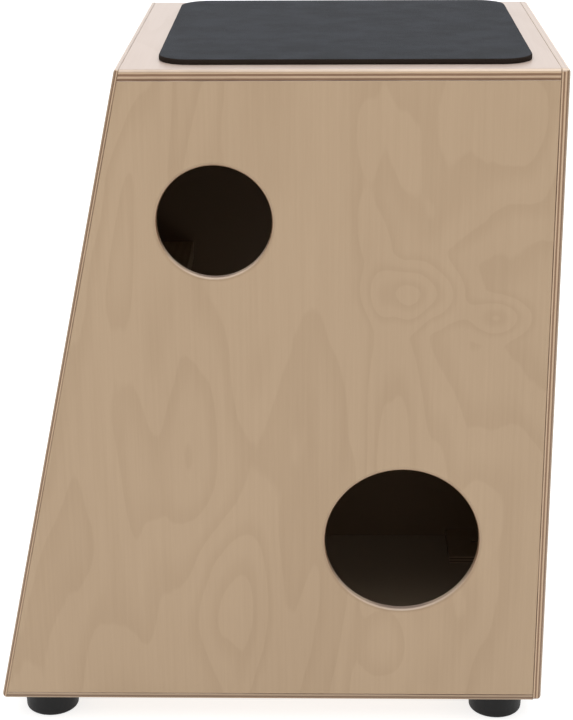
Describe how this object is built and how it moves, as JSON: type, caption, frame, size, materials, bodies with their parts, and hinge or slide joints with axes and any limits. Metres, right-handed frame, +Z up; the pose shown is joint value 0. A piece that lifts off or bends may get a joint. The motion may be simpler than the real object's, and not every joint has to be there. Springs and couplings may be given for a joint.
{
  "type": "cajon",
  "caption": "Box drum in birch plywood with a sloping thin playing panel, upright back, two round side ports, inside snares, foam seat pad and rubber feet.",
  "frame": {"origin": "on the floor, under the middle of the box", "axes": "+Z up; -X towards the sloping playing panel, +X the upright back; -Y the side with the two sound ports, +Y the plain side"},
  "size_m": [0.3991, 0.275, 0.4958],
  "materials": {
    "birch_plywood": "satin clear lacquer, light birch veneer with ply layers on the edges",
    "softwood": "sawn and planed, unfinished",
    "seat_foam": "matt fine-grained closed-cell foam",
    "black_rubber": "moulded, satin",
    "zinc_steel": "zinc plated",
    "black_steel": "black oxide screw",
    "spring_steel": "bright drawn wire"
  },
  "bodies": {
    "root": {"top_panel": "birch_plywood", "bottom_panel": "birch_plywood", "back_panel": "birch_plywood", "playing_panel": "birch_plywood", "ported_side_panel": "birch_plywood", "plain_side_panel": "birch_plywood", "seat_pad": "seat_foam", "snare_beam": "softwood", "batten_port_side": "softwood", "batten_plain_side": "softwood", "batten_top": "softwood", "batten_bottom": "softwood", "corner_plate_front_port_side": "birch_plywood", "corner_plate_front_plain_side": "birch_plywood", "corner_plate_rear_port_side": "birch_plywood", "corner_plate_rear_plain_side": "birch_plywood", "rubber_foot_front_port_side": "black_rubber", "rubber_foot_front_plain_side": "black_rubber", "rubber_foot_rear_port_side": "black_rubber", "rubber_foot_rear_plain_side": "black_rubber", "foot_washer_front_port_side": "zinc_steel", "foot_washer_front_plain_side": "zinc_steel", "foot_washer_rear_port_side": "zinc_steel", "foot_washer_rear_plain_side": "zinc_steel", "foot_screw_front_port_side": "zinc_steel", "foot_screw_front_plain_side": "zinc_steel", "foot_screw_rear_port_side": "zinc_steel", "foot_screw_rear_plain_side": "zinc_steel", "snare_set_port_side": "spring_steel", "snare_set_plain_side": "spring_steel", "snare_screw_port_side_1": "zinc_steel", "snare_screw_port_side_2": "zinc_steel", "snare_screw_plain_side_1": "zinc_steel", "snare_screw_plain_side_2": "zinc_steel", "playing_screw_01": "black_steel", "playing_screw_02": "black_steel", "playing_screw_03": "black_steel", "playing_screw_04": "black_steel", "playing_screw_05": "black_steel", "playing_screw_06": "black_steel", "playing_screw_07": "black_steel", "playing_screw_08": "black_steel", "playing_screw_09": "black_steel", "playing_screw_10": "black_steel", "playing_screw_11": "black_steel", "playing_screw_12": "black_steel", "playing_screw_13": "black_steel", "playing_screw_14": "black_steel", "playing_screw_15": "black_steel", "playing_screw_16": "black_steel", "playing_screw_17": "black_steel", "playing_screw_18": "black_steel"}
  },
  "joints": []
}
